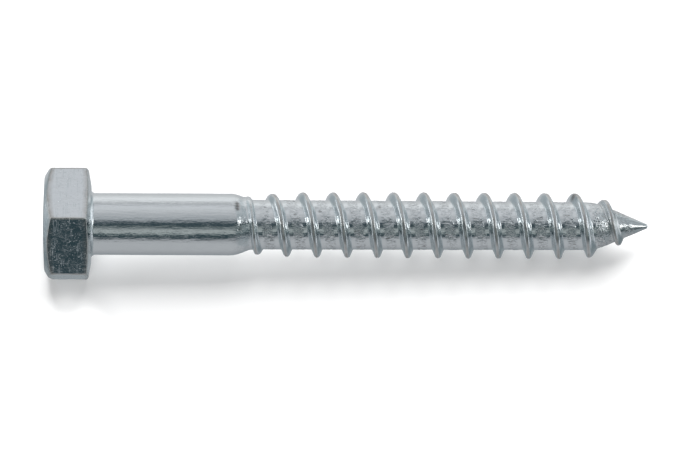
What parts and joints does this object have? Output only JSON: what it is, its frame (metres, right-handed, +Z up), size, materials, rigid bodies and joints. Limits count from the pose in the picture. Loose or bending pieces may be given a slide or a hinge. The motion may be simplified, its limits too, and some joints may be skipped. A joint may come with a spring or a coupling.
{
  "type": "hexagon head wood screw",
  "caption": "Hexagon-head wood screw with a plain shank, a right-hand rolled wood thread and a sharp conical point, in bright zinc-plated steel.",
  "frame": {"origin": "on the screw's axis, in the plane of the head's bearing face, where the screw meets what it clamps", "axes": "+X along the axis from the head to the point, the way the screw is driven; +Z up, square to two opposite flats of the head, so the screw lies on the flat that faces -Z; +Y completes the right-handed frame"},
  "size_m": [0.0715, 0.0146, 0.0126],
  "materials": {
    "zinc_plated_steel": "bright zinc plating over cold-formed steel, faintly blue, with fine rolling and handling marks"
  },
  "bodies": {
    "root": {"wood_screw": "zinc_plated_steel"}
  },
  "joints": []
}
